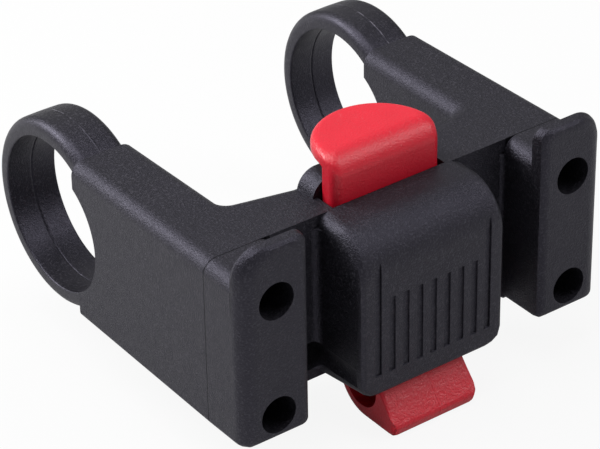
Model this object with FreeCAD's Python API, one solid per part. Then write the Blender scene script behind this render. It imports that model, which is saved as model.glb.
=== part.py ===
"""Handlebar bag mount: a clamp-on adapter with a click-in front block and a red release latch.

The frame has the handlebar's axis along X through the origin, midway between the two clamp
straps. +Z is up, and the bag hangs on the side of -Y. Lengths are in millimetres.
"""
import FreeCAD, Part
import math
import os

V = FreeCAD.Vector

# Handlebar, clamp straps and their seats
BAR_D = 31.8                 # oversize handlebar
REACH = 65.8                 # handlebar axis to the arms' front faces
STRAP_WIDTH = 11.0
STRAP_WALL = 3.6
STRAP_EDGE_R = 1.8           # the ring's outer edges, eased in two flats
RING_OVERLAP_DEG = 2.0       # the ring's ends, inside its legs
STRAP_GAP = 0.2              # strap legs to the walls of their pockets
STRAP_SETIN = 0.1            # middle of the strap, inside the middle of its arm
LEG_HEIGHT = 8.4
LEG_LENGTH = 20.0            # the part of a leg that is inside its arm
TIGHTENING_ROOM = 3.0        # empty pocket ahead of a leg
SEAT_DEPTH = 6.8             # hollow in the arm's end: the bar bears on its two rims

# Arms
ARM_OUTER = 42.0             # middle plane to the outside of an arm
ARM_WIDTH = 15.0
ARM_HEIGHT = 35.2
ARM_SETBACK = 10.9           # arm's end to the handlebar's axis
ARM_TOP_OUTER_R = 2.8
ARM_TOP_INNER_R = 3.0
ARM_BOTTOM_R = 1.2
FRONT_OUTER_R = 3.2          # upright edges of the front face
FRONT_INNER_R = 1.8
FRONT_EDGE_R = 1.5           # top and bottom edges of the front face
DRAFT_DEG = 0.6              # the arms taper from the parting plane to the rear
LIP_RISE = 6.1               # lip on the front of an arm, above its top
LIP_THICK = 3.3
LIP_OUTER_R = 5.4
LIP_INNER_R = 2.0
LIP_BACK_R = 0.6

# Cross-piece between the arms
GROOVE_DEPTH = 11.4          # front face to the wall behind the rail grooves, the parting plane
CROSS_DEPTH_ARM = 14.8       # front to back, beside the arms
CROSS_DEPTH_MID = 11.8       # and behind the button
CROSS_CORNER_R = 2.0         # inside corners at the arms, seen from above
WALL_HOLE_D = 6.1
WALL_HOLE_SETOFF = 2.1       # hole centre to the block's side
HUMP_HALF = 14.1             # low rounded wall behind the button
HUMP_RISE = 3.4
HUMP_SETBACK = 2.0           # from the cross-piece's rear face
HUMP_R = 4.2

# Click block at the front
BLOCK_HALF = 16.8
BLOCK_PROUD = 1.5            # ahead of the arms' front faces
BLOCK_LIFT = 0.8             # its underside at the front, above the arms'
BLOCK_CROWN_R = 8.2          # front top edge
BLOCK_CORNER_R = 4.0         # bottom corners, seen from the front
BLOCK_CORNER_BACK_R = 2.0    # and at the groove wall
BLOCK_TOP_R = 2.6            # side edges of the top and of the crown
BLOCK_SIDE_R = 1.3           # upright edges of the front
BLOCK_BOTTOM_R = 1.2         # bottom edge of the front
BLOCK_ROOT_R = 1.6           # inside corners of the grooves, beside the block
ARM_ROOT_R = 1.0             # and beside the arms
FLUTE_COUNT = 9
FLUTE_PITCH = 3.21
FLUTE_WIDTH = 1.4
FLUTE_DEPTH = 0.4
FLUTE_BOTTOM = -12.3
FLUTE_TOP = 3.8
FLUTE_TOP_END = 12.1         # the outermost pair is longer

# Clamp screws, M4, and nuts
SCREW_D = 4.0
SCREW_LENGTH = 25.0
SCREW_SPACING = 24.5
HEAD_D = 7.0
HEAD_HEIGHT = 4.0
SOCKET_AF = 3.0
SOCKET_DEPTH = 2.0
HEAD_HOLE_D = 7.6
SCREW_END = 2.8              # thread past the nut
SCREW_CLEARANCE = 0.4        # on the diameter
NUT_WIDTH = 7.0              # square nuts
NUT_THICK = 2.2
NUT_GAP = 0.15
NUT_SETBACK = 11.9           # nuts' bearing faces to the arm's end

# Release latch
STEM_HALF = 12.4
STEM_THICK = 4.3
STEM_FRONT_R = 2.0
STEM_BACK_R = 0.8
STEM_BOTTOM = -6.0
STEM_SETBACK = 0.5           # behind the groove wall
SLOT_END_GAP = 0.6
SLOT_FRONT_GAP = 0.15
SLOT_BACK_GAP = 0.25
HEAD_RISE = 9.4              # top of the button above the arms
BUTTON_THICK = 2.6
BUTTON_FLANK = 3.2           # straight sides of the button, ahead of its half round
BUTTON_RIM_R = 1.7
BUTTON_CROWN_R = 4.4         # front edge of the button, down to the stem
BUTTON_ROOT_R = 0.6
HOOK_HALF = 10.0
HOOK_DROP = 10.1             # bottom of the hook below the arms
HOOK_BACK_R = 7.6
HOOK_WALL = 2.75             # bottom of the hook
LEG_THICK = 2.5              # rear leg of the hook
LEG_SETBACK = 0.2            # behind the stem's front
NOSE_PROUD = 1.2             # ahead of the block's front face
NOSE_HEIGHT = 2.4            # foremost point above the bottom
NOSE_UNDERCUT = 1.0
NOSE_R = 1.3
RAMP_TOP = 9.0               # top of the ramp above the bottom
LEAF_FRONT = 2.0             # behind the arms' front faces
LEAF_THICK = 1.3
LEAF_TOP = 16.0              # above the bottom of the hook
EYE_FRONT = 3.0              # front of the opening behind the nose
EYE_R = 4.4
HOOK_CORNER_R = 1.4          # bottom corners, seen from the front
HOOK_EDGE_R = 0.9            # side edges of the leg, nose and ramp
POCKET_GAP = 0.5             # hook to the walls of its pocket in the block
POCKET_ROOF_GAP = 1.0

# Steps across the rounded edges of lofts
EDGE_STEPS = 4
SMALL_EDGE_STEPS = 3

HALF_HEIGHT = ARM_HEIGHT / 2
ARM_INNER = ARM_OUTER - ARM_WIDTH
ARM_MID = ARM_OUTER - ARM_WIDTH / 2 - STRAP_SETIN
SCREW_Z = SCREW_SPACING / 2
FRONT_Y = -REACH
WALL_Y = FRONT_Y + GROOVE_DEPTH
REAR_Y = -ARM_SETBACK
NUT_Y = REAR_Y - NUT_SETBACK
HEAD_SEAT_Y = NUT_Y + NUT_THICK + SCREW_END - SCREW_LENGTH
BAR_R = BAR_D / 2
STRAP_R = BAR_R + STRAP_WALL
STEM_Y = WALL_Y + STEM_SETBACK
BLOCK_Y = FRONT_Y - BLOCK_PROUD
BLOCK_BOTTOM = BLOCK_LIFT - HALF_HEIGHT
HOOK_Z = -HALF_HEIGHT - HOOK_DROP
LEG_Y = STEM_Y + LEG_SETBACK
BUTTON_DEPTH = BUTTON_FLANK + STEM_HALF
CROSS_BACK_Y = WALL_Y + CROSS_DEPTH_MID


def place(plane, u, v, w):
    """The point (u, v) of a plane that is square to the third axis at w."""
    if plane == "xy":
        return V(u, v, w)
    if plane == "xz":
        return V(u, w, v)
    return V(w, u, v)


def outline(plane, w, corners):
    """A closed outline of straight runs, each corner (u, v, radius) rounded by a tangent arc."""
    starts = []
    middles = []
    ends = []
    count = len(corners)
    for i, (u, v, radius) in enumerate(corners):
        corner = V(u, v, 0)
        before = V(corners[i - 1][0], corners[i - 1][1], 0) - corner
        after = V(corners[(i + 1) % count][0], corners[(i + 1) % count][1], 0) - corner
        before.normalize()
        after.normalize()
        half = before.getAngle(after) / 2
        bisector = before + after
        if radius == 0 or bisector.Length == 0:
            starts.append(corner)
            middles.append(None)
            ends.append(corner)
            continue
        bisector.normalize()
        run = radius / math.tan(half)
        centre = corner + bisector * (radius / math.sin(half))
        starts.append(corner + before * run)
        middles.append(centre - bisector * radius)
        ends.append(corner + after * run)
    edges = []
    for i in range(count):
        start = place(plane, starts[i].x, starts[i].y, w)
        end = place(plane, ends[i].x, ends[i].y, w)
        if middles[i]:
            middle = place(plane, middles[i].x, middles[i].y, w)
            edges.append(Part.Arc(start, middle, end).toShape())
        following = starts[(i + 1) % count]
        target = place(plane, following.x, following.y, w)
        if end.distanceToPoint(target) > 1e-6:
            edges.append(Part.LineSegment(end, target).toShape())
    return Part.Wire(edges)


def prism(plane, w0, w1, corners):
    """An outline carried straight from w0 to w1 along the third axis."""
    face = Part.Face(outline(plane, w0, corners))
    return face.extrude(place(plane, 0, 0, w1 - w0))


def eased(radius, depth):
    """How far a rounded edge draws in a side, at a depth below the end face that it leads to."""
    if depth >= radius:
        return 0
    return radius - math.sqrt(radius ** 2 - (radius - depth) ** 2)


def ease_depths(radius, steps):
    """Depths below an end face where a loft's sections are taken, to follow edges up to that radius."""
    return [radius * (1 - math.cos(math.radians(90 * i / steps))) for i in range(steps + 1)]


def carried_across(half, depths, section):
    """A loft along X between two rounded ends: section gives the outline at x and a depth below its end."""
    near = [section(depth - half, depth) for depth in depths]
    far = [section(half - depth, depth) for depth in reversed(depths)]
    return Part.makeLoft(near + far, True, True)


def box(x0, x1, y0, y1, z0, z1):
    """A box between two corners."""
    return Part.makeBox(x1 - x0, y1 - y0, z1 - z0, V(x0, y0, z0))


def rod(diameter, start, length, along):
    """A round bar."""
    return Part.makeCylinder(diameter / 2, length, start, along)


def mirrored(shape):
    """The shape on the other side of the middle plane."""
    return shape.mirror(V(0, 0, 0), V(1, 0, 0))


def both_sides(shape):
    """A shape of the right-hand side and its mirror image."""
    return [shape, mirrored(shape)]


def inset_at(y):
    """How far the draft draws in the faces at a place behind the parting plane."""
    return (y - WALL_Y) * math.tan(math.radians(DRAFT_DEG))


def arm_section(y, inner_top_r):
    """Cross-section of the right arm, drawn in by the draft."""
    inner = ARM_INNER + inset_at(y)
    outer = ARM_OUTER - inset_at(y)
    top = HALF_HEIGHT - inset_at(y)
    return outline("xz", y, [
        (inner, -top, ARM_BOTTOM_R),
        (outer, -top, ARM_BOTTOM_R),
        (outer, top, ARM_TOP_OUTER_R),
        (inner, top, inner_top_r),
    ])


def front_plate():
    """The arm's front plate, which rises above the arm as a lip: the edges of its face are rounded."""
    lip_top = HALF_HEIGHT + LIP_RISE
    back = LIP_THICK - LIP_BACK_R
    depths = [depth for depth in ease_depths(FRONT_OUTER_R, EDGE_STEPS) if depth < back]
    sections = []
    for depth in depths + [back, LIP_THICK]:
        inner = ARM_INNER + eased(FRONT_INNER_R, depth)
        outer = ARM_OUTER - eased(FRONT_OUTER_R, depth)
        low = -HALF_HEIGHT + eased(FRONT_EDGE_R, depth)
        high = lip_top - eased(FRONT_EDGE_R, depth) - eased(LIP_BACK_R, LIP_THICK - depth)
        sections.append(outline("xz", FRONT_Y + depth, [
            (inner, low, ARM_BOTTOM_R),
            (outer, low, ARM_BOTTOM_R),
            (outer, high, LIP_OUTER_R),
            (inner, high, LIP_INNER_R),
        ]))
    return Part.makeLoft(sections, True, True)


def arm_front():
    """The arm ahead of the parting plane, with its front plate and the rounded root of the lip."""
    back = FRONT_Y + LIP_THICK
    arm = Part.Face(arm_section(WALL_Y, ARM_TOP_INNER_R)).extrude(V(0, back - WALL_Y, 0))
    root = prism("yz", ARM_INNER + ARM_TOP_INNER_R, ARM_OUTER - ARM_TOP_OUTER_R, [
        (back - LIP_BACK_R, HALF_HEIGHT - LIP_BACK_R, 0),
        (back + LIP_BACK_R, HALF_HEIGHT - LIP_BACK_R, 0),
        (back + LIP_BACK_R, HALF_HEIGHT, 0),
        (back, HALF_HEIGHT, LIP_BACK_R),
        (back, HALF_HEIGHT + LIP_BACK_R, 0),
        (back - LIP_BACK_R, HALF_HEIGHT + LIP_BACK_R, 0),
    ])
    return arm.multiFuse([front_plate(), root])


def arm_rear():
    """The arm behind the parting plane, tapering to the handlebar seat, its inner top edge sharp."""
    return Part.makeLoft([arm_section(WALL_Y, 0), arm_section(REAR_Y, 0)], True, True)


def strap_pocket(side):
    """Pocket for one leg of the right strap, on the upper or lower side of the arm."""
    low = leg_low() - STRAP_GAP
    high = leg_low() + LEG_HEIGHT + STRAP_GAP
    half = STRAP_WIDTH / 2 + STRAP_GAP
    start = REAR_Y - LEG_LENGTH - TIGHTENING_ROOM
    zs = sorted((side * low, side * high))
    return box(ARM_MID - half, ARM_MID + half, start, REAR_Y + STRAP_WALL, zs[0], zs[1])


def leg_low():
    """Height of a leg's inner face: its outer face is level with the ring at the arm's end."""
    return math.sqrt(STRAP_R ** 2 - REAR_Y ** 2) - LEG_HEIGHT


def bar_seat():
    """The hollow in the arm's end, as deep as stated, whose rims touch the handlebar."""
    rim_squared = BAR_R ** 2 - REAR_Y ** 2
    radius = (rim_squared + SEAT_DEPTH ** 2) / (2 * SEAT_DEPTH)
    return rod(2 * radius, V(0, REAR_Y - SEAT_DEPTH + radius, 0), ARM_OUTER + 1, V(1, 0, 0))


def arm_hollows():
    """Everything that is cut from the right arm."""
    cuts = [strap_pocket(1), strap_pocket(-1), bar_seat()]
    for z in (SCREW_Z, -SCREW_Z):
        start = V(ARM_MID, BLOCK_Y, z)
        cuts.append(rod(HEAD_HOLE_D, start, HEAD_SEAT_Y - BLOCK_Y, V(0, 1, 0)))
        cuts.append(rod(SCREW_D + SCREW_CLEARANCE, start, REAR_Y - BLOCK_Y, V(0, 1, 0)))
    return cuts


def cross_piece():
    """The bar between the arms, thinner behind the button, with the arms' draft above and below."""
    arm_back = WALL_Y + CROSS_DEPTH_ARM
    corner_end = arm_back + 2 * CROSS_CORNER_R
    buried = ARM_INNER + ARM_WIDTH / 2
    bar = prism("xy", -HALF_HEIGHT, HALF_HEIGHT, [
        (-buried, WALL_Y, 0),
        (buried, WALL_Y, 0),
        (buried, corner_end, 0),
        (ARM_INNER + inset_at(corner_end), corner_end, 0),
        (ARM_INNER + inset_at(arm_back), arm_back, CROSS_CORNER_R),
        (HUMP_HALF, CROSS_BACK_Y, 0),
        (-HUMP_HALF, CROSS_BACK_Y, 0),
        (-ARM_INNER - inset_at(arm_back), arm_back, CROSS_CORNER_R),
        (-ARM_INNER - inset_at(corner_end), corner_end, 0),
        (-buried, corner_end, 0),
    ])
    rear_half = HALF_HEIGHT - inset_at(REAR_Y)
    wedge = prism("yz", -buried, buried, [
        (WALL_Y, -HALF_HEIGHT, 0),
        (REAR_Y, -rear_half, 0),
        (REAR_Y, rear_half, 0),
        (WALL_Y, HALF_HEIGHT, 0),
    ])
    return bar.common(wedge)


def rear_frame():
    """Arms and cross-piece behind the parting plane, the inner top edge rounded from end to end."""
    frame = cross_piece().multiFuse(both_sides(arm_rear())).removeSplitter()
    inner_reach = ARM_INNER + inset_at(REAR_Y) + 1e-3
    rim = []
    for edge in frame.Edges:
        bounds = edge.BoundBox
        on_top = bounds.ZMin > HALF_HEIGHT - inset_at(REAR_Y) - 1e-3
        inside = max(bounds.XMax, -bounds.XMin) < inner_reach
        if on_top and inside and bounds.YMax > WALL_Y + 1e-3:
            rim.append(edge)
    return frame.makeFillet(ARM_TOP_INNER_R, rim)


def hump():
    """Low wall with rounded shoulders behind the button, above the rear wall of the latch's slot."""
    front = STEM_Y + STEM_THICK + SLOT_BACK_GAP
    return prism("xz", front, CROSS_BACK_Y - HUMP_SETBACK, [
        (-HUMP_HALF, 0, 0),
        (HUMP_HALF, 0, 0),
        (HUMP_HALF, HALF_HEIGHT + HUMP_RISE, HUMP_R),
        (-HUMP_HALF, HALF_HEIGHT + HUMP_RISE, HUMP_R),
    ])


def block_section(x, depth):
    """Side profile of the click block, drawn in near its ends by the rounded side edges."""
    front = BLOCK_Y + eased(BLOCK_SIDE_R, depth)
    top = HALF_HEIGHT - eased(BLOCK_TOP_R, depth)
    low = BLOCK_BOTTOM + eased(BLOCK_CORNER_R, depth)
    low_back = -HALF_HEIGHT + eased(BLOCK_CORNER_BACK_R, depth)
    return outline("yz", x, [
        (front, low, BLOCK_BOTTOM_R),
        (STEM_Y, low_back, 0),
        (STEM_Y, top, 0),
        (front, top, BLOCK_CROWN_R),
    ])


def block():
    """The click block, crowned at its front top edge."""
    return carried_across(BLOCK_HALF, ease_depths(BLOCK_CORNER_R, EDGE_STEPS), block_section)


def groove_corner(x, side, radius, low, high):
    """Rounded inside corner where a groove's side at x, facing the given way, meets its wall."""
    inside = x - side * radius
    outside = x + side * radius
    return prism("xy", low, high, [
        (inside, WALL_Y + radius, 0),
        (inside, WALL_Y - radius, 0),
        (x, WALL_Y - radius, 0),
        (x, WALL_Y, radius),
        (outside, WALL_Y, 0),
        (outside, WALL_Y + radius, 0),
    ])


def groove_corners():
    """The two inside corners of the right groove, beside the block and beside the arm."""
    block_low = -HALF_HEIGHT + BLOCK_CORNER_BACK_R
    block_high = HALF_HEIGHT - BLOCK_TOP_R
    arm_high = HALF_HEIGHT - ARM_TOP_INNER_R
    return [
        groove_corner(BLOCK_HALF, 1, BLOCK_ROOT_R, block_low, block_high),
        groove_corner(ARM_INNER, -1, ARM_ROOT_R, -HALF_HEIGHT, arm_high),
    ]


def flutes():
    """Shallow upright channels in the block's front, the outer pair longer."""
    cuts = []
    last = FLUTE_COUNT - 1
    for i in range(FLUTE_COUNT):
        x = (i - last / 2) * FLUTE_PITCH
        top = FLUTE_TOP_END if i in (0, last) else FLUTE_TOP
        half = FLUTE_WIDTH / 2
        cuts.append(box(x - half, x + half, BLOCK_Y - 1, BLOCK_Y + FLUTE_DEPTH, FLUTE_BOTTOM, top))
    return cuts


def latch_room():
    """Slot for the latch's stem and the pocket for its hook, open at the bottom."""
    slot = box(-STEM_HALF - SLOT_END_GAP, STEM_HALF + SLOT_END_GAP,
               STEM_Y - SLOT_FRONT_GAP, STEM_Y + STEM_THICK + SLOT_BACK_GAP,
               -ARM_HEIGHT, ARM_HEIGHT)
    half = HOOK_HALF + POCKET_GAP
    roof = HOOK_Z + LEAF_TOP + POCKET_ROOF_GAP
    pocket = box(-half, half, FRONT_Y + LEAF_FRONT - POCKET_GAP, STEM_Y, -ARM_HEIGHT, roof)
    return [slot, pocket]


def adapter_body():
    """The one black moulding: arms, cross-piece and click block."""
    pieces = [block(), hump()]
    cuts = latch_room() + flutes()
    for piece in [arm_front()] + groove_corners():
        pieces += both_sides(piece)
    for cut in arm_hollows():
        cuts += both_sides(cut)
    hole_x = BLOCK_HALF + WALL_HOLE_SETOFF
    hole = rod(WALL_HOLE_D, V(hole_x, FRONT_Y, -SCREW_Z), REACH, V(0, 1, 0))
    cuts += both_sides(hole)
    return rear_frame().multiFuse(pieces).removeSplitter().cut(cuts)


def clamp_strap():
    """The right strap: a ring round the handlebar and two legs that go into the arm."""
    half = STRAP_WIDTH / 2
    ease = STRAP_EDGE_R * (1 - math.sqrt(0.5))
    right = [
        (half, BAR_R),
        (half, STRAP_R - STRAP_EDGE_R),
        (half - ease, STRAP_R - ease),
        (half - STRAP_EDGE_R, STRAP_R),
    ]
    left = [(-offset, radius) for offset, radius in reversed(right)]
    corners = [(ARM_MID + offset, radius, 0) for offset, radius in right + left]
    inside_leg = math.degrees(math.acos(REAR_Y / BAR_R)) + RING_OVERLAP_DEG
    section = Part.Face(outline("xy", 0, corners))
    section.rotate(V(0, 0, 0), V(1, 0, 0), -inside_leg)
    strap = section.revolve(V(0, 0, 0), V(1, 0, 0), 2 * inside_leg)
    for side in (1, -1):
        zs = sorted((side * leg_low(), side * (leg_low() + LEG_HEIGHT)))
        leg = box(ARM_MID - half, ARM_MID + half, REAR_Y - LEG_LENGTH, REAR_Y, zs[0], zs[1])
        leg = leg.cut(rod(BAR_D, V(0, 0, 0), REACH, V(1, 0, 0)))
        strap = strap.fuse(leg)
    for side in (1, -1):
        z = side * SCREW_Z
        hole = rod(SCREW_D + SCREW_CLEARANCE, V(ARM_MID, FRONT_Y, z), REACH - BAR_R, V(0, 1, 0))
        strap = strap.cut(hole).cut(nut_slot(side))
    return strap.removeSplitter()


def nut_slot(side):
    """Slot that a nut is pushed into from the handlebar's side of a leg."""
    half = NUT_WIDTH / 2 + NUT_GAP
    zs = sorted((0, side * (SCREW_Z + half)))
    return box(ARM_MID - half, ARM_MID + half, NUT_Y, NUT_Y + NUT_THICK + NUT_GAP, zs[0], zs[1])


def hexagon(across_flats, y, height, x, z):
    """A hexagonal prism along Y with two flats square to X."""
    radius = across_flats / math.sqrt(3)
    corners = []
    for i in range(6):
        angle = math.radians(60 * i + 30)
        corners.append((x + radius * math.cos(angle), z + radius * math.sin(angle), 0))
    return prism("xz", y, y + height, corners)


def clamp_screw(x, z):
    """A socket-head screw, pointing to the rear."""
    top = HEAD_SEAT_Y - HEAD_HEIGHT
    head = rod(HEAD_D, V(x, top, z), HEAD_HEIGHT, V(0, 1, 0))
    head = head.cut(hexagon(SOCKET_AF, top, SOCKET_DEPTH, x, z))
    return head.fuse(rod(SCREW_D, V(x, HEAD_SEAT_Y, z), SCREW_LENGTH, V(0, 1, 0)))


def clamp_nut(x, z):
    """A square nut on the screw."""
    half = NUT_WIDTH / 2
    nut = box(x - half, x + half, NUT_Y, NUT_Y + NUT_THICK, z - half, z + half)
    return nut.cut(rod(SCREW_D, V(x, NUT_Y, z), NUT_THICK, V(0, 1, 0)))


def four_of(make):
    """The same fastener at each end of both straps."""
    places = [(x, z) for x in (-ARM_MID, ARM_MID) for z in (-SCREW_Z, SCREW_Z)]
    return Part.Compound([make(x, z) for x, z in places])


def button_section(depth):
    """Outline of the button at a depth below its top: straight at the front and half round to the rear."""
    inset = eased(BUTTON_RIM_R, depth)
    half = STEM_HALF - inset
    back = STEM_Y + BUTTON_DEPTH - inset
    return outline("xy", HALF_HEIGHT + HEAD_RISE - depth, [
        (-half, STEM_Y, STEM_FRONT_R),
        (half, STEM_Y, STEM_FRONT_R),
        (half, back, half),
        (-half, back, half),
    ])


def button():
    """The D-shaped head with a rounded rim."""
    depths = ease_depths(BUTTON_RIM_R, SMALL_EDGE_STEPS) + [BUTTON_THICK]
    return Part.makeLoft([button_section(depth) for depth in depths], True, True)


def stem():
    """The flat bar under the button, with rounded upright edges and a rounded root."""
    low = HALF_HEIGHT + HEAD_RISE - BUTTON_THICK
    back = STEM_Y + STEM_THICK
    bar = prism("xy", STEM_BOTTOM, low, [
        (-STEM_HALF, STEM_Y, STEM_FRONT_R),
        (STEM_HALF, STEM_Y, STEM_FRONT_R),
        (STEM_HALF, back, STEM_BACK_R),
        (-STEM_HALF, back, STEM_BACK_R),
    ])
    root_half = STEM_HALF - BUTTON_ROOT_R
    root = prism("yz", -root_half, root_half, [
        (back - BUTTON_ROOT_R, low, 0),
        (back - BUTTON_ROOT_R, low - BUTTON_ROOT_R, 0),
        (back, low - BUTTON_ROOT_R, 0),
        (back, low, BUTTON_ROOT_R),
        (back + BUTTON_ROOT_R, low, 0),
    ])
    return bar.fuse(root)


def hook_section(x, depth):
    """Side profile of the lower end: a leg that turns forward to a ramped nose and up into a thin leaf."""
    inset = eased(HOOK_EDGE_R, depth)
    leg_back = LEG_Y + LEG_THICK - inset
    nose_y = BLOCK_Y - NOSE_PROUD + inset
    leaf_y = FRONT_Y + LEAF_FRONT + inset
    leaf_back = FRONT_Y + LEAF_FRONT + LEAF_THICK
    eye_y = FRONT_Y + EYE_FRONT
    leg_top = STEM_BOTTOM + LEG_THICK
    low = HOOK_Z + eased(HOOK_CORNER_R, depth)
    eye_z = HOOK_Z + HOOK_WALL
    leaf_top = HOOK_Z + LEAF_TOP
    ramp_z = HOOK_Z + RAMP_TOP
    return outline("yz", x, [
        (leg_back, leg_top, 0),
        (leg_back, low, HOOK_BACK_R),
        (nose_y + NOSE_UNDERCUT, low, NOSE_R),
        (nose_y, low + NOSE_HEIGHT, NOSE_R),
        (leaf_y, ramp_z, NOSE_R),
        (leaf_y, leaf_top, 0),
        (leaf_back, leaf_top, 0),
        (leaf_back, ramp_z, NOSE_R),
        (eye_y, eye_z + EYE_R, 0),
        (eye_y, eye_z, EYE_R),
        (LEG_Y, eye_z, EYE_R),
        (LEG_Y, leg_top, 0),
    ])


def hook():
    """The hook: its profile carried across between two rounded ends."""
    return carried_across(HOOK_HALF, ease_depths(HOOK_CORNER_R, SMALL_EDGE_STEPS), hook_section)


def release_latch():
    """The one red moulding: button, stem and hook, crowned at the front of its head."""
    top = HALF_HEIGHT + HEAD_RISE
    head = button().fuse(stem())
    crown = prism("yz", -STEM_HALF, STEM_HALF, [
        (STEM_Y, STEM_BOTTOM, 0),
        (STEM_Y + BUTTON_DEPTH, STEM_BOTTOM, 0),
        (STEM_Y + BUTTON_DEPTH, top, 0),
        (STEM_Y, top, BUTTON_CROWN_R),
    ])
    return head.common(crown).fuse(hook()).removeSplitter()


def main():
    """Writes one file for each node."""
    os.makedirs("parts", exist_ok=True)
    strap = clamp_strap()
    nodes = {
        "adapter_body": adapter_body(),
        "clamp_strap_right": strap,
        "clamp_strap_left": mirrored(strap),
        "clamp_screws": four_of(clamp_screw),
        "clamp_nuts": four_of(clamp_nut),
        "release_latch": release_latch(),
    }
    for name, shape in nodes.items():
        volume = sum(solid.Volume for solid in shape.Solids)
        print(name, "solids", len(shape.Solids), "valid", shape.isValid(), "volume", round(volume, 1))
        shape.exportStep(os.path.join("parts", name + ".step"))


main()
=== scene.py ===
"""Handlebar bag mount: finishes, smooth mouldings and studio for the clamp-on bag adapter.

Lengths are in metres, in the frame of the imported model: the handlebar's axis lies along X through
the origin, +Z is up and the bag hangs on the side of -Y.
"""
import bmesh
import bpy
import math
import numpy as np
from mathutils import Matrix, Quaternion, Vector


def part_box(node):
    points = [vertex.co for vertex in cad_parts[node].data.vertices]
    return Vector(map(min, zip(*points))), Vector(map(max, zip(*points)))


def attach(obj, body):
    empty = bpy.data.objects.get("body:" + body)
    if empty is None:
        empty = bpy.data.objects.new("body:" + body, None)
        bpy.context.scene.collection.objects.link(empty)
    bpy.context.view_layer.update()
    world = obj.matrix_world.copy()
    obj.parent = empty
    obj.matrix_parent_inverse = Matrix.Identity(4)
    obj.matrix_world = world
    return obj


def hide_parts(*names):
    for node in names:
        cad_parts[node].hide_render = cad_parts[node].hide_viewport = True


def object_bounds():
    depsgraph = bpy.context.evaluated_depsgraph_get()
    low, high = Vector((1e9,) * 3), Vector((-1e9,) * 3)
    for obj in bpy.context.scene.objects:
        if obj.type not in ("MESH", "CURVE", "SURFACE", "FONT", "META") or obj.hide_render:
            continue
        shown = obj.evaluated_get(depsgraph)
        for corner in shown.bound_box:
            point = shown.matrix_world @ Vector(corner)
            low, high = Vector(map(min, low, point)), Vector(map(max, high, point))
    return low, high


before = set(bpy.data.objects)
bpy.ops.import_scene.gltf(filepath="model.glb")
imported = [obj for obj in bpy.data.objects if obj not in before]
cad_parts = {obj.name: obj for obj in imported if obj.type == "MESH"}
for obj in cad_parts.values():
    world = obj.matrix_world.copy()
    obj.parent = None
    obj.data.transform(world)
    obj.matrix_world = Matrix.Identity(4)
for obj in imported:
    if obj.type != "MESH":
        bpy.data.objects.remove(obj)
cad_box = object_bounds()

MM = 0.001
QUARTER_TURN = math.pi / 2

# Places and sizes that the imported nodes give
BODY_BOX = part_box("adapter_body")
STRAP_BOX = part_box("clamp_strap_right")
NUT_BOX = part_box("clamp_nuts")
LATCH_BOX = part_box("release_latch")
ARM_END_Y = BODY_BOX[1].y
STRAP_END_Y = STRAP_BOX[0].y
STRAP_R = STRAP_BOX[1].y
STRAP_MID_X = (STRAP_BOX[0].x + STRAP_BOX[1].x) / 2
STRAP_HALF = (STRAP_BOX[1].x - STRAP_BOX[0].x) / 2
NUT_HALF = NUT_BOX[1].x - STRAP_MID_X
SCREW_Z = NUT_BOX[1].z - NUT_HALF

# Clamp straps
BAR_R = 15.9 * MM            # inside of the ring
LEG_HEIGHT = 8.4 * MM
SHOULDER_R = 1.9 * MM        # outer edges
RIM_R = 0.35 * MM            # inner edges
STRAP_CROWN = 0.15 * MM      # the outside falls by this towards its edges
FLASH_HEIGHT = 0.07 * MM     # moulding seam round the outside
FLASH_WIDTH = 0.11 * MM
FLASH_MEAN = 0.55            # mean share of that height, and how far the share swings
FLASH_SWING = 0.45
FLASH_WAVES = ((7.3, 0.6), (3.1, 1.9))  # waves to one turn of the ring, and the phase of each
SCORE_DEPTH = 0.12 * MM      # moulding seam round the inside
SCORE_WIDTH = 0.13 * MM
SCREW_HOLE_R = 2.2 * MM
NUT_GAP = 0.15 * MM
CUT_PAST = 1.0 * MM          # a screw's hole starts this far outside its leg
RING_STEPS = 110
LEG_STEPS = 50
EDGE_STEPS = 9
ACROSS_STEPS = 33
CROWDING = 1.7               # above 1, the steps across a strap crowd towards its middle line
HOLE_SIDES = 48

# Latch head: a D-shaped button on a flat stem, crowned at its front
HEAD_HALF = LATCH_BOX[1].x
HEAD_TOP = LATCH_BOX[1].z
HEAD_BACK_Y = LATCH_BOX[1].y
FLANK_DEPTH = 3.2 * MM       # straight flanks in front of the half round
HEAD_FRONT_Y = HEAD_BACK_Y - HEAD_HALF - FLANK_DEPTH
BUTTON_HEIGHT = 2.6 * MM
BUTTON_UNDER_Z = HEAD_TOP - BUTTON_HEIGHT
CROWN_R = 4.4 * MM           # front edge of the button, down to the stem
BUTTON_RIM_R = 1.7 * MM      # top edge at its sides and back
UNDER_RIM_R = 0.4 * MM       # lower edge at its back
STEM_DEPTH = 4.3 * MM
STEM_BACK_Y = HEAD_FRONT_Y + STEM_DEPTH
STEM_FRONT_R = 2.0 * MM
STEM_BACK_R = 0.8 * MM
STEM_ROOT_R = 0.6 * MM       # between the stem's back and the button
STEM_CUT_Z = 8.0 * MM        # inside the block: the head is computed above it, the hook is cut off there
SHAFT_ROWS = 12
NECK_ROWS = 9
ROOT_ROWS = 7
UNDER_ROWS = 6
FLANK_ROWS = 5
RIM_ROWS = 20
CORNER_STEPS = 17
FRONT_STEPS = 15

# Edges of the mouldings
WELD = 0.002 * MM
FLAT_ANGLE = math.radians(0.4)
CREASE_ANGLE = math.radians(32)
EDGE_WIDTH = 0.22 * MM
EASE_SEGMENTS = 2
ROUND_PROFILE = 0.5
FLUTE_ZONE = 0.7 * MM        # the flutes lie within this of the block's front
FLUTE_BACK_Y = BODY_BOX[0].y + FLUTE_ZONE
FLUTE_REACH = 15.5 * MM      # and within this of its middle
FLUTE_EASE = 0.13 * MM

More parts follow.
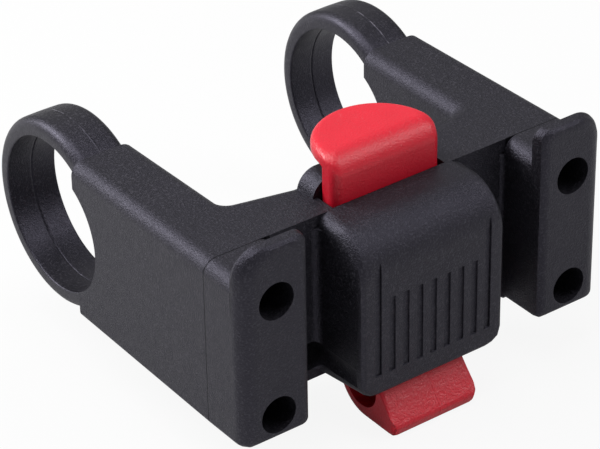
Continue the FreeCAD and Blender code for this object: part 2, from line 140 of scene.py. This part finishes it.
# Camera: a long lens, from the left, the front and above, with its angles in degrees
VIEW_AZIMUTH = -36.15
VIEW_ELEVATION = 32.13
VIEW_ROLL = -1.02
VIEW_DISTANCE = 569.0 * MM
VIEW_TARGET = Vector((-0.63, -26.98, -4.12)) * MM
LENS = 176.74                # in millimetres, as the sensor's width is
SENSOR_WIDTH = 36.0
CLIP_NEAR = 0.01
CLIP_FAR = 20.0

# Lamps: name, azimuth and elevation in degrees, distance and size in metres, power in watts
LAMPS = (
    ("rear_left_softbox", -140, 32, 0.9, 0.4, 8.5),
    ("top_softbox", -110, 77, 0.9, 0.7, 6.3),
    ("front_right_panel", 46, 42, 1.2, 0.6, 5.6),
    ("rear_right_panel", 144, 32, 1.2, 0.9, 0.92),
)

# Room and floor
ROOM_WHITE = (1.0, 1.0, 1.0, 1)
ROOM_LIGHT = 0.20
FLOOR_HALF = 6.0
FLOOR_GREY = (0.55, 0.55, 0.55, 1)
FLOOR_ROUGHNESS = 0.9
FLOOR_SEEN = 0.9             # share of plain white that the camera sees
FLOOR_MIRRORED = 0.15        # share of plain white in reflections

# Spans of a noise's values that a finish is spread over
NOISE_MIDDLE = (0.3, 0.7)
NOISE_BROAD = (0.25, 0.75)
NOISE_WIDE = (0.2, 0.8)

# Black nylon: colours, gloss, and grains counted to the metre
NYLON_DARK = (0.0010, 0.0010, 0.0013, 1)
NYLON_LIGHT = (0.0020, 0.0019, 0.0025, 1)
# pale colour of the nylon's specks and of the straps' outer seam
NYLON_PALE = (0.084, 0.080, 0.094, 1)
NYLON_SHEEN = (0.80, 0.76, 1.0, 1)
NYLON_GLOSS = 0.54
NYLON_CLOUDS = 140.0
NYLON_GRAIN = 3000.0
COARSE_GRAIN = NYLON_GRAIN / 5
COARSE_SHARE = 1 / 20        # depth of the coarse grain, as a share of the fine one's
SPECK_GRAIN = 0.8 * NYLON_GRAIN
SPECK_PEAKS = (0.54, 0.74)
SPECK_SHARE = 0.20
ROUGHNESS_SWING = 0.04
BODY_ROUGHNESS = 0.50
BODY_GRAIN_DEPTH = 0.16 * MM
STRAP_ROUGHNESS = 0.46
STRAP_GRAIN_DEPTH = 0.08 * MM

# Hairlines on the body: where the rail grooves end, and at the back of the lips on the arms
PARTING_Y = -54.4 * MM
PARTING_HALF = 0.08 * MM
PARTING_FROM_X = (27.3 * MM, 27.5 * MM)
LIP_BACK_Y = -62.5 * MM
LIP_LINE_HALF = 0.07 * MM
LIP_LINE_FROM_X = (41.0 * MM, 41.5 * MM)
LIP_LINE_FROM_Z = (8.0 * MM, 13.0 * MM)
LIP_LINE_SHARE = 0.8
HAIRLINE_GLOSS = 0.2
HAIRLINE_DEPTH = 0.06 * MM

# Pale colour in patches along the straps' outer seams
PALE_SEAM_HALF = 0.08 * MM
PALE_SEAM_FROM_R = (STRAP_R - 0.5 * MM, STRAP_R - 0.3 * MM)
PALE_SEAM_CLOUDS = 260.0
PALE_SEAM_PEAKS = (0.48, 0.62)

# Red plastic
RED_DEEP = (0.50, 0.0008, 0.014, 1)
RED_BRIGHT = (0.61, 0.0014, 0.020, 1)
RED_RUBBED = (0.85, 0.30, 0.32, 1)
RED_GLOSS = 0.62
RED_ROUGHNESS = (0.36, 0.50)
RED_CLOUDS = 220.0
RED_GRAIN = 2300.0
RED_GRAIN_DEPTH = 0.10 * MM
RED_SPECK_PEAKS = (0.79, 0.85)
RED_SPECK_SHARE = 0.18
SCRATCH_GRAIN = 700.0
SCRATCH_STRETCH = (1.0, 0.3, 0.12)
SCRATCH_PEAKS = (0.70, 0.78)
SCRATCH_SHARE = 0.16
LEATHER_GRAIN = 1150.0
LEATHER_STRETCH = (1.0, 0.8, 0.8)
LEATHER_DEPTH = 0.14 * MM
LEATHER_ABOVE = 0.15         # share of the leather that is left above the hook
HOOK_TOP_Z = (-19.0 * MM, -17.0 * MM)
MOULD_LINE_X = 1.2 * MM
MOULD_LINE_HALF = 0.12 * MM
MOULD_LINE_HEIGHT = 0.05 * MM

# Zinc-plated steel
ZINC_DARK = (0.36, 0.36, 0.37, 1)
ZINC_LIGHT = (0.50, 0.50, 0.51, 1)
ZINC_ROUGHNESS = (0.28, 0.42)
ZINC_CLOUDS = 900.0
ZINC_DEPTH = 0.006 * MM


class Finish:
    """A material with its principled shader, and short ways to add and link nodes."""

    # Strength of each finer layer of a noise against the layer before
    LAYER_SHARE = 0.65
    # A mix node's colour sockets, which share their names with its number sockets
    MIX_FIRST = 6
    MIX_SECOND = 7
    MIX_RESULT = 2

    def __init__(self, name):
        self.material = bpy.data.materials.new(name)
        self.material.use_nodes = True
        self.tree = self.material.node_tree
        self.shader = self.tree.nodes["Principled BSDF"]
        self.place = self.tree.nodes.new("ShaderNodeTexCoord").outputs["Object"]

    def feed(self, value, socket):
        """Links another node's output to a socket, or sets the socket to a constant."""
        if isinstance(value, bpy.types.NodeSocket):
            self.tree.links.new(value, socket)
        else:
            socket.default_value = value

    def give(self, name, value):
        """Feeds one of the shader's own sockets."""
        self.feed(value, self.shader.inputs[name])

    def sums(self, operation, first, second=0.0):
        """One step of arithmetic."""
        node = self.tree.nodes.new("ShaderNodeMath")
        node.operation = operation
        self.feed(first, node.inputs[0])
        self.feed(second, node.inputs[1])
        return node.outputs["Value"]

    def product(self, first, *others):
        """All the values multiplied together."""
        for other in others:
            first = self.sums("MULTIPLY", first, other)
        return first

    def noise(self, scale, detail, vector=None):
        """Cloudy noise from 0 to 1, with a number of clouds to the metre and of finer layers."""
        node = self.tree.nodes.new("ShaderNodeTexNoise")
        node.inputs["Scale"].default_value = scale
        node.inputs["Detail"].default_value = detail
        node.inputs["Roughness"].default_value = self.LAYER_SHARE
        self.feed(vector or self.place, node.inputs["Vector"])
        return node.outputs["Fac"]

    def stretched(self, factors):
        """Object coordinates multiplied by a factor along each axis."""
        node = self.tree.nodes.new("ShaderNodeMapping")
        node.inputs["Scale"].default_value = factors
        self.feed(self.place, node.inputs["Vector"])
        return node.outputs["Vector"]

    def spread(self, value, span, onto=(0.0, 1.0)):
        """Carries a span of a value smoothly onto another span."""
        node = self.tree.nodes.new("ShaderNodeMapRange")
        node.interpolation_type = "SMOOTHSTEP"
        self.feed(value, node.inputs["Value"])
        for key, number in zip(("From Min", "From Max", "To Min", "To Max"), (*span, *onto)):
            node.inputs[key].default_value = number
        return node.outputs["Result"]

    def near(self, value, centre, half):
        """1 within a half width of a value, fading to 0 at twice that."""
        off = self.sums("ABSOLUTE", self.sums("SUBTRACT", value, centre))
        return self.spread(off, (half, 2 * half), (1.0, 0.0))

    def axes(self):
        """The three object coordinates."""
        node = self.tree.nodes.new("ShaderNodeSeparateXYZ")
        self.feed(self.place, node.inputs["Vector"])
        return node.outputs["X"], node.outputs["Y"], node.outputs["Z"]

    def blend(self, factor, first, second):
        """Mixes two colours."""
        node = self.tree.nodes.new("ShaderNodeMix")
        node.data_type = "RGBA"
        self.feed(factor, node.inputs["Factor"])
        self.feed(first, node.inputs[self.MIX_FIRST])
        self.feed(second, node.inputs[self.MIX_SECOND])
        return node.outputs[self.MIX_RESULT]

    def relief(self, height, distance, below=None):
        """Bump from a height from 0 to 1, on top of another bump."""
        node = self.tree.nodes.new("ShaderNodeBump")
        node.inputs["Strength"].default_value = 1.0
        node.inputs["Distance"].default_value = distance
        self.feed(height, node.inputs["Height"])
        if below:
            self.feed(below, node.inputs["Normal"])
        return node.outputs["Normal"]


def nylon_grain(finish, roughness, depth):
    """Charcoal nylon: cloudy tone, fine pale specks, and a matt grain that also breaks up the gloss."""
    clouds = finish.spread(finish.noise(NYLON_CLOUDS, detail=3.0), NOISE_MIDDLE)
    specks = finish.spread(finish.noise(SPECK_GRAIN, detail=0.0), SPECK_PEAKS, (0.0, SPECK_SHARE))
    tone = finish.blend(specks, finish.blend(clouds, NYLON_DARK, NYLON_LIGHT), NYLON_PALE)
    fine = finish.noise(NYLON_GRAIN, detail=2.0)
    coarse = finish.noise(COARSE_GRAIN, detail=3.0)
    swing = (roughness - ROUGHNESS_SWING, roughness + ROUGHNESS_SWING)
    finish.give("Roughness", finish.spread(coarse, NOISE_BROAD, swing))
    finish.give("Specular Tint", NYLON_SHEEN)
    finish.give("Specular IOR Level", NYLON_GLOSS)
    bump = finish.relief(fine, depth, finish.relief(coarse, depth * COARSE_SHARE))
    return tone, bump


def body_nylon():
    """The body's nylon, with hairlines where the mould's halves met round the arms and beside the lips."""
    finish = Finish("black_nylon_moulded")
    tone, bump = nylon_grain(finish, BODY_ROUGHNESS, BODY_GRAIN_DEPTH)
    x, y, z = finish.axes()
    across = finish.sums("ABSOLUTE", x)
    on_arm = finish.spread(across, PARTING_FROM_X)
    parting = finish.product(finish.near(y, PARTING_Y, PARTING_HALF), on_arm)
    upper = finish.spread(z, LIP_LINE_FROM_Z, (0.0, LIP_LINE_SHARE))
    outer = finish.spread(across, LIP_LINE_FROM_X)
    lip_line = finish.product(finish.near(y, LIP_BACK_Y, LIP_LINE_HALF), upper, outer)
    line = finish.sums("MAXIMUM", parting, lip_line)
    finish.give("Base Color", finish.blend(line, tone, NYLON_DARK))
    finish.give("Specular IOR Level", finish.spread(line, (0.0, 1.0), (NYLON_GLOSS, HAIRLINE_GLOSS)))
    finish.give("Normal", finish.relief(finish.sums("SUBTRACT", 1.0, line), HAIRLINE_DEPTH, bump))
    return finish.material


def strap_nylon():
    """The straps' smoother nylon: the seam round the outside is coloured pale in noisy patches."""
    finish = Finish("strap_nylon_moulded")
    tone, bump = nylon_grain(finish, STRAP_ROUGHNESS, STRAP_GRAIN_DEPTH)
    x, y, z = finish.axes()
    # a pale colour goes on the outer seam's middle line, in patches set by noise
    seam = finish.near(finish.sums("ABSOLUTE", x), STRAP_MID_X, PALE_SEAM_HALF)
    radius = finish.sums("SQRT", finish.sums("ADD", finish.product(y, y), finish.product(z, z)))
    outside = finish.spread(radius, PALE_SEAM_FROM_R)
    pale_patches = finish.spread(finish.noise(PALE_SEAM_CLOUDS, detail=3.0), PALE_SEAM_PEAKS)
    finish.give("Base Color", finish.blend(finish.product(seam, outside, pale_patches), tone, NYLON_PALE))
    finish.give("Normal", bump)
    return finish.material


def red_plastic():
    """Red moulded plastic with a fine grain. The hook has a leathery one and a faint upright mould line."""
    finish = Finish("red_plastic_moulded")
    x, _, z = finish.axes()
    tone = finish.blend(finish.noise(RED_CLOUDS, detail=4.0), RED_DEEP, RED_BRIGHT)
    streaks = finish.noise(SCRATCH_GRAIN, detail=2.0, vector=finish.stretched(SCRATCH_STRETCH))
    scratches = finish.spread(streaks, SCRATCH_PEAKS, (0.0, SCRATCH_SHARE))
    specks = finish.spread(finish.noise(RED_GRAIN, detail=0.0), RED_SPECK_PEAKS, (0.0, RED_SPECK_SHARE))
    finish.give("Base Color", finish.blend(finish.sums("MAXIMUM", scratches, specks), tone, RED_RUBBED))
    fine = finish.noise(RED_GRAIN, detail=2.0)
    finish.give("Roughness", finish.spread(fine, NOISE_BROAD, RED_ROUGHNESS))
    finish.give("Specular IOR Level", RED_GLOSS)
    leather = finish.noise(LEATHER_GRAIN, detail=3.0, vector=finish.stretched(LEATHER_STRETCH))
    on_hook = finish.spread(z, HOOK_TOP_Z, (1.0, LEATHER_ABOVE))
    bump = finish.relief(fine, RED_GRAIN_DEPTH)
    bump = finish.relief(finish.product(leather, on_hook), LEATHER_DEPTH, bump)
    line = finish.product(finish.near(x, MOULD_LINE_X, MOULD_LINE_HALF), on_hook)
    finish.give("Normal", finish.relief(line, MOULD_LINE_HEIGHT, bump))
    return finish.material


def zinc_steel():
    """Zinc-plated screw steel, faintly mottled."""
    finish = Finish("zinc_steel")
    clouds = finish.noise(ZINC_CLOUDS, detail=3.0)
    finish.give("Base Color", finish.blend(clouds, ZINC_DARK, ZINC_LIGHT))
    finish.give("Roughness", finish.spread(clouds, NOISE_WIDE, ZINC_ROUGHNESS))
    finish.give("Normal", finish.relief(clouds, ZINC_DEPTH))
    finish.give("Metallic", 1.0)
    return finish.material


def new_object(name, mesh):
    """An object at the origin that shows a mesh."""
    piece = bpy.data.objects.new(name, mesh)
    bpy.context.scene.collection.objects.link(piece)
    return piece


def tube(name, points):
    """A closed mesh from a grid of points: the columns of each row join up, and the end rows are flat faces.

    The quad at row i and column j takes the corners (i, j), (i+1, j), (i+1, j+1) and (i, j+1).
    """
    rows, columns = points.shape[:2]
    start = np.arange(rows - 1)[:, None] * columns
    column = np.arange(columns)[None, :]
    following = (column + 1) % columns
    corners = [start + column, start + columns + column, start + columns + following, start + following]
    quads = np.stack(corners, -1).reshape(-1, 4)
    first = np.arange(columns)
    last = np.arange((rows - 1) * columns, rows * columns)[::-1]
    mesh = bpy.data.meshes.new(name)
    mesh.from_pydata(points.reshape(-1, 3), [], quads.tolist() + [first.tolist(), last.tolist()])
    return new_object(name, mesh)


def strap_rails():
    """The outer and inner side lines of a strap in the plane of Y and Z, as two arrays of equal length.

    Both follow circles about the handlebar until the outer one reaches the arm's end. There the outer one
    runs on level. The inner one stays on the handlebar until it is a leg's height lower, then runs level too.
    The lower half mirrors the upper one.
    """
    leg_top = math.sqrt(STRAP_R ** 2 - ARM_END_Y ** 2)
    leg_turn = -math.sqrt(BAR_R ** 2 - (leg_top - LEG_HEIGHT) ** 2)
    leave = math.acos(ARM_END_Y / STRAP_R)
    inner_leave = BAR_R * math.cos(leave)
    angle = np.linspace(0, leave, RING_STEPS)
    along = np.linspace(0, 1, LEG_STEPS)[1:]
    outer_y = ARM_END_Y + (STRAP_END_Y - ARM_END_Y) * along
    inner_y = inner_leave + (STRAP_END_Y - inner_leave) * along
    inner_z = np.sqrt(BAR_R ** 2 - np.maximum(inner_y, leg_turn) ** 2)
    ring = np.stack([np.cos(angle), np.sin(angle)], -1)
    outer = np.concatenate([STRAP_R * ring, np.stack([outer_y, np.full_like(outer_y, leg_top)], -1)])
    inner = np.concatenate([BAR_R * ring, np.stack([inner_y, inner_z], -1)])
    below = np.array([1, -1])
    return [np.concatenate([(upper * below)[:0:-1], upper]) for upper in (outer, inner)]


def strap_side(radius, bow):
    """One side of a strap's section, from its left edge to its right: place across, and depth below its rail.

    Quarter circles round both edges. Between them the places crowd towards the middle line, and the depth
    grows by the bow with the square of the distance from it.
    """
    turn = np.linspace(0, QUARTER_TURN, EDGE_STEPS)
    share = np.linspace(-1, 1, ACROSS_STEPS)[1:-1]
    flat = (STRAP_HALF - radius) * np.sign(share) * np.abs(share) ** CROWDING
    edge = STRAP_HALF - radius + radius * np.cos(turn)
    drop = radius * (1 - np.sin(turn))
    across = np.concatenate([-edge, flat, edge[::-1]])
    depth = np.concatenate([drop, np.zeros_like(flat), drop[::-1]])
    return across, depth + bow * (across / STRAP_HALF) ** 2


def clamp_strap(name, middle, finish):
    """A strap: its rounded section carried along its two rails, with a seam round its outside and its inside.

    A point of the section lies at its depth below its own rail, measured towards the other rail. The seams
    are bell curves about the middle line: a ridge outside, which comes and goes round the ring as two waves
    multiplied, and a score inside.
    """
    outer, inner = strap_rails()
    normal = outer - inner
    normal /= np.linalg.norm(normal, axis=1)[:, None]
    turn = np.arctan2(outer[:, 1], outer[:, 0])
    out_x, out_depth = strap_side(SHOULDER_R, STRAP_CROWN)
    in_x, in_depth = strap_side(RIM_R, 0.0)
    quick, slow = (np.sin(count * turn + phase) for count, phase in FLASH_WAVES)
    broken = FLASH_MEAN + FLASH_SWING * quick * slow
    ridge = FLASH_HEIGHT * broken[:, None] * np.exp(-(out_x / FLASH_WIDTH) ** 2)
    score = SCORE_DEPTH * np.exp(-(in_x / SCORE_WIDTH) ** 2)
    outside = outer[:, None] - normal[:, None] * (out_depth - ridge)[..., None]
    inside = (inner[:, None] + normal[:, None] * (in_depth + score)[:, None])[:, ::-1]
    section = np.concatenate([outside, inside], 1)
    across = np.broadcast_to(middle + np.concatenate([out_x, in_x[::-1]]), section.shape[:2])
    strap = tube(name, np.concatenate([across[..., None], section], -1))
    carve(strap, [cut for side in (1, -1) for cut in fastener_cuts(middle, side)])
    strap.data.materials.clear()
    strap.data.materials.append(finish)
    shade(strap.data)
    return strap


def fastener_cuts(middle, side):
    """What a screw and its nut take from a leg: a round hole and a square slot open to the handlebar."""
    turn = np.linspace(0, 2 * math.pi, HOLE_SIDES, endpoint=False)
    circle = np.stack([middle + SCREW_HOLE_R * np.cos(turn),
                       side * SCREW_Z + SCREW_HOLE_R * np.sin(turn)], -1)
    hole_y = np.array([STRAP_END_Y - CUT_PAST, -BAR_R])
    slot_half = NUT_HALF + NUT_GAP
    low, high = sorted([0, side * (SCREW_Z + slot_half)])
    square = np.array([[middle - slot_half, low], [middle + slot_half, low],
                       [middle + slot_half, high], [middle - slot_half, high]])
    slot_y = np.array([NUT_BOX[0].y, NUT_BOX[1].y + NUT_GAP])
    return [tube("cut", carried(circle, hole_y)), tube("cut", carried(square, slot_y))]


def carried(loop, places):
    """A loop of X and Z carried straight along Y to each place."""
    grid = np.empty((len(places), len(loop), 3))
    grid[..., 0] = loop[:, 0]
    grid[..., 1] = places[:, None]
    grid[..., 2] = loop[:, 1]
    return grid


def carve(piece, cuts):
    """Takes each cut out of a piece for good."""
    for cut in cuts:
        hole = piece.modifiers.new("hole", "BOOLEAN")
        hole.object = cut
        hole.operation = "DIFFERENCE"
    bpy.context.view_layer.update()
    whole = piece.evaluated_get(bpy.context.evaluated_depsgraph_get())
    mesh = bpy.data.meshes.new_from_object(whole)
    piece.modifiers.clear()
    piece.data = mesh
    for cut in cuts:
        bpy.data.objects.remove(cut)


def shade(mesh):
    """Smooth shading that breaks at the creases."""
    mesh.polygons.foreach_set("use_smooth", np.ones(len(mesh.polygons), bool))
    mesh.set_sharp_from_angle(angle=CREASE_ANGLE)


def quarter(radius, steps):
    """Inset and height of a rounded edge, from upright to level: a quarter circle in equal turns."""
    turn = np.linspace(0, QUARTER_TURN, steps)
    return radius * (1 - np.cos(turn)), radius * np.sin(turn)


def head_rows():
    """Heights of the latch head's sections, their half widths, their backs and their back corners' radii.

    The stem goes up with its own back, which flares by a quarter circle under the button. Then the button's
    wide sections go up from its rounded lower edge to the rounded rim of its top.
    """
    crown_start = HEAD_TOP - CROWN_R
    root_z = BUTTON_UNDER_Z - STEM_ROOT_R
    flare, climb = quarter(STEM_ROOT_R, ROOT_ROWS)
    shaft = np.linspace(STEM_CUT_Z, crown_start, SHAFT_ROWS)[:-1]
    neck = np.linspace(crown_start, root_z, NECK_ROWS)[:-1]
    straight = np.concatenate([shaft, neck])
    stem_z = np.concatenate([straight, root_z + climb])
    stem_back = STEM_BACK_Y + np.concatenate([np.zeros_like(straight), flare])
    under_z = BUTTON_UNDER_Z + UNDER_RIM_R
    rim_z = HEAD_TOP - BUTTON_RIM_R
    low_in, low_up = quarter(UNDER_RIM_R, UNDER_ROWS)
    rim_in, rim_up = quarter(BUTTON_RIM_R, RIM_ROWS)
    flank_z = np.linspace(under_z, rim_z, FLANK_ROWS)[1:-1]
    upright = np.zeros_like(flank_z)
    button_z = np.concatenate([under_z - low_up[::-1], flank_z, rim_z + rim_up])
    set_in = np.concatenate([np.zeros_like(low_up), upright, rim_in])
    button_back = HEAD_BACK_Y - np.concatenate([low_in[::-1], upright, rim_in])
    z = np.concatenate([stem_z, button_z])
    half = HEAD_HALF - np.concatenate([np.zeros_like(stem_z), set_in])
    back = np.concatenate([stem_back, button_back])
    back_r = np.concatenate([np.full_like(stem_z, STEM_BACK_R), half[len(stem_z):]])
    return z, half, back, back_r


def latch_head(name, finish):
    """The latch's head: rounded outlines stacked along Z, whose front falls back along the crown's circle.

    The back corners are circles about their own centres. A front corner's circle touches the front line and
    the flank, or the back corner's circle from inside where the front has passed its centre. Both meet at the
    angle of the line between their centres.
    """
    z, half, back, back_r = (row[:, None] for row in head_rows())
    above = np.maximum(z - (HEAD_TOP - CROWN_R), 0)
    front = HEAD_FRONT_Y + CROWN_R - np.sqrt(np.maximum(CROWN_R ** 2 - above ** 2, 0))
    back_x = half - back_r
    back_y = back - back_r
    front_y = front + STEM_FRONT_R
    past = np.maximum(front_y - back_y, 0)
    larger = back_r - STEM_FRONT_R
    front_x = back_x + np.sqrt(larger ** 2 - past ** 2) * np.sign(larger)
    meet = np.arctan2(past, np.abs(front_x - back_x))
    share = np.linspace(0, 1, CORNER_STEPS)[None, :]
    front_turn = -QUARTER_TURN + (meet + QUARTER_TURN) * share
    back_turn = meet + (QUARTER_TURN - meet) * share
    right_x = np.concatenate([front_x + STEM_FRONT_R * np.cos(front_turn),
                              back_x + back_r * np.cos(back_turn)], 1)
    right_y = np.concatenate([front_y + STEM_FRONT_R * np.sin(front_turn),
                              back_y + back_r * np.sin(back_turn)], 1)
    along = np.linspace(-1, 1, FRONT_STEPS)[None, 1:-1]
    x = np.concatenate([front_x * along, right_x, -right_x[:, ::-1]], 1)
    y = np.concatenate([front * np.ones_like(along), right_y, right_y[:, ::-1]], 1)
    head = tube(name, np.stack([x, y, np.broadcast_to(z, x.shape)], -1))
    head.data.materials.append(finish)
    shade(head.data)
    steady(head)
    return head


def steady(piece):
    """Flat faces keep their own direction in the shading, and curves take up the turn."""
    normals = piece.modifiers.new("flat_faces_stay_flat", "WEIGHTED_NORMAL")
    normals.keep_sharp = True


def flute_edges(form):
    """The creased edges of the flutes in the block's front."""
    return [edge for edge in form.edges
            if edge.is_manifold and edge.calc_face_angle() > CREASE_ANGLE
            and all(abs(v.co.x) < FLUTE_REACH and v.co.y < FLUTE_BACK_Y for v in edge.verts)]


def moulding(node, name, finish, cut_z=None, fluted=False):
    """A node's own form, merged from its loose triangles and with its flats joined.

    Where asked, its top is cut off level, or the edges of its flutes are rounded. The last bevel rounds the
    creases no further than the narrowest face beside any of them leaves room for.
    """
    form = bmesh.new()
    form.from_mesh(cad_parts[node].data)
    bmesh.ops.remove_doubles(form, verts=form.verts, dist=WELD)
    if cut_z is not None:
        whole = form.verts[:] + form.edges[:] + form.faces[:]
        cut = bmesh.ops.bisect_plane(form, geom=whole, plane_co=(0, 0, cut_z), plane_no=(0, 0, 1),
                                     clear_outer=True)
        rim = [part for part in cut["geom_cut"] if isinstance(part, bmesh.types.BMEdge)]
        bmesh.ops.contextual_create(form, geom=rim)
    bmesh.ops.dissolve_limit(form, angle_limit=FLAT_ANGLE, verts=form.verts, edges=form.edges)
    bmesh.ops.recalc_face_normals(form, faces=form.faces)
    if fluted:
        bmesh.ops.bevel(form, geom=flute_edges(form), offset=FLUTE_EASE, offset_type="OFFSET", affect="EDGES",
                        segments=EASE_SEGMENTS, profile=ROUND_PROFILE, clamp_overlap=False)
    mesh = bpy.data.meshes.new(name)
    form.to_mesh(mesh)
    form.free()
    mesh.materials.clear()
    mesh.materials.append(finish)
    shade(mesh)
    piece = new_object(name, mesh)
    ease = piece.modifiers.new("eased_edges", "BEVEL")
    ease.width = EDGE_WIDTH
    ease.segments = EASE_SEGMENTS
    ease.limit_method = "ANGLE"
    ease.angle_limit = CREASE_ANGLE
    steady(piece)
    return piece


def stand_for(piece, node, body):
    """The piece takes the node's place on its body."""
    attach(piece, body)
    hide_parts(node)


def pale_floor(height):
    """A wide pale floor: nearly white to the camera, with some of its soft shadow, and dim in reflections."""
    mesh = bpy.data.meshes.new("studio_floor")
    corners = [(x * FLOOR_HALF, y * FLOOR_HALF, height) for x, y in ((-1, -1), (1, -1), (1, 1), (-1, 1))]
    mesh.from_pydata(corners, [], [(0, 1, 2, 3)])
    floor = new_object("studio_floor", mesh)
    finish = Finish("pale_floor")
    finish.give("Base Color", FLOOR_GREY)
    finish.give("Roughness", FLOOR_ROUGHNESS)
    finish.give("Specular IOR Level", 0.0)
    path = finish.tree.nodes.new("ShaderNodeLightPath")
    direct = finish.sums("MAXIMUM", path.outputs["Is Camera Ray"], path.outputs["Is Transmission Ray"])
    seen = finish.product(direct, FLOOR_SEEN)
    mirrored = finish.product(path.outputs["Is Glossy Ray"], FLOOR_MIRRORED)
    white = finish.tree.nodes.new("ShaderNodeEmission")
    mix = finish.tree.nodes.new("ShaderNodeMixShader")
    finish.feed(finish.sums("MAXIMUM", seen, mirrored), mix.inputs["Fac"])
    finish.feed(finish.shader.outputs["BSDF"], mix.inputs[1])
    finish.feed(white.outputs["Emission"], mix.inputs[2])
    finish.feed(mix.outputs["Shader"], finish.tree.nodes["Material Output"].inputs["Surface"])
    mesh.materials.append(finish.material)


def studio_world():
    """An even, dim room."""
    world = bpy.data.worlds.new("studio")
    world.use_nodes = True
    bpy.context.scene.world = world
    room = world.node_tree.nodes["Background"]
    room.inputs["Color"].default_value = ROOM_WHITE
    room.inputs["Strength"].default_value = ROOM_LIGHT


def aimed(name, data, azimuth, elevation, distance):
    """A lamp or camera that looks at the part's middle from a compass direction and height, in degrees."""
    a = math.radians(azimuth)
    e = math.radians(elevation)
    back = Vector((math.sin(a) * math.cos(e), -math.cos(a) * math.cos(e), math.sin(e)))
    holder = bpy.data.objects.new(name, data)
    holder.location = VIEW_TARGET + back * distance
    holder.rotation_mode = "QUATERNION"
    holder.rotation_quaternion = (-back).to_track_quat("-Z", "Y")
    bpy.context.scene.collection.objects.link(holder)
    return holder


def softbox(name, azimuth, elevation, distance, size, power):
    """A square area lamp."""
    lamp = bpy.data.lights.new(name, "AREA")
    lamp.size = size
    lamp.energy = power
    aimed(name, lamp, azimuth, elevation, distance)


def photo_camera():
    """The camera at the photograph's angle, turned a little about its own axis."""
    lens = bpy.data.cameras.new("photo_camera")
    lens.lens = LENS
    lens.sensor_width = SENSOR_WIDTH
    lens.clip_start = CLIP_NEAR
    lens.clip_end = CLIP_FAR
    camera = aimed("photo_camera", lens, VIEW_AZIMUTH, VIEW_ELEVATION, VIEW_DISTANCE)
    camera.rotation_quaternion = camera.rotation_quaternion @ Quaternion((0, 0, 1), math.radians(VIEW_ROLL))
    bpy.context.scene.camera = camera


strap_finish = strap_nylon()
adapter = moulding("adapter_body", "adapter_moulding", body_nylon(), fluted=True)
stand_for(adapter, "adapter_body", "adapter")
red = red_plastic()
stand_for(latch_head("latch_head", red), "release_latch", "latch")
hook = moulding("release_latch", "latch_hook", red, cut_z=STEM_CUT_Z)
stand_for(hook, "release_latch", "latch")
for side, middle in (("left", -STRAP_MID_X), ("right", STRAP_MID_X)):
    strap = clamp_strap("strap_" + side, middle, strap_finish)
    stand_for(strap, "clamp_strap_" + side, "adapter")
steel = zinc_steel()
for node in ("clamp_screws", "clamp_nuts"):
    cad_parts[node].material_slots[0].material = steel

pale_floor(cad_box[0].z)
studio_world()
for lamp in LAMPS:
    softbox(*lamp)
photo_camera()

scene = bpy.context.scene
scene.view_settings.view_transform = "Standard"
